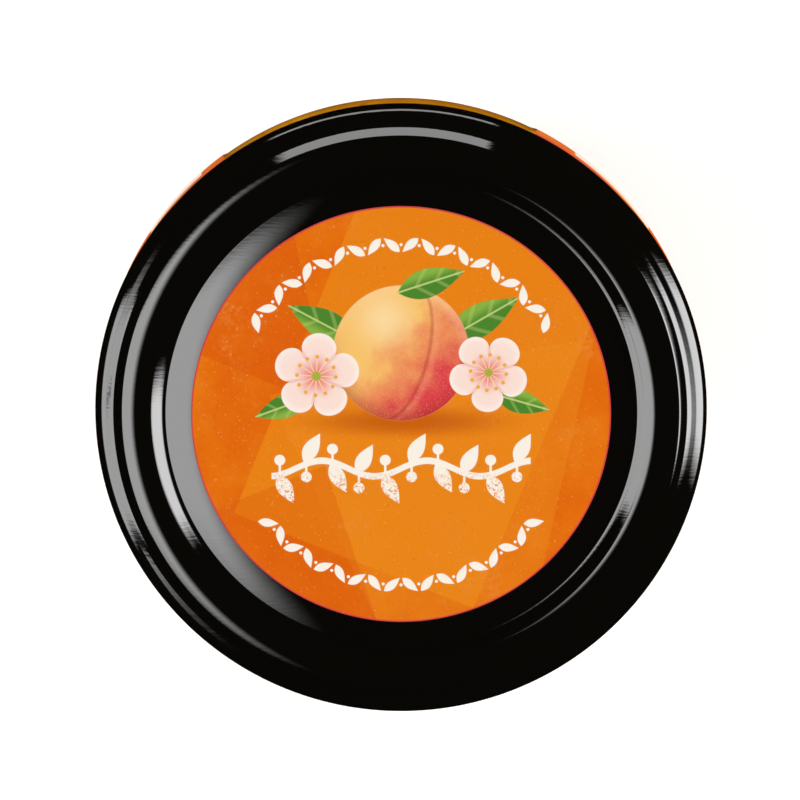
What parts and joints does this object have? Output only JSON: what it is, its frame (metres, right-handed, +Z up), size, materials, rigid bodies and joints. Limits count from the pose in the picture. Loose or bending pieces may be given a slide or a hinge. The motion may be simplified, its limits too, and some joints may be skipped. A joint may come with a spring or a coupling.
{
  "type": "jam jar",
  "caption": "Clear glass jar filled with apricot jam, shut by a black metal twist-off lid with a round printed sticker and wrapped by a paper label.",
  "frame": {"origin": "centre of the base ring, on the surface that the jar stands on", "axes": "+Z up along the jar's axis, -Y to the front of the label, +Y to the label's gap at the back"},
  "size_m": [0.0723, 0.0719, 0.0797],
  "materials": {
    "clear_glass": "clear pressed glass, smooth, with a stippled base ring",
    "apricot_jam": "wet, translucent ochre jelly with soft pieces of fruit",
    "black_lacquer": "high-gloss black lacquer on tinplate",
    "sticker_print": "matte printed paper, mottled orange",
    "label_print": "matte printed paper, mottled orange with pale fields"
  },
  "bodies": {
    "root": {"jar_glass": "clear_glass", "jam": "apricot_jam", "lid": "black_lacquer", "lid_sticker": "sticker_print", "body_label": "label_print"}
  },
  "joints": []
}
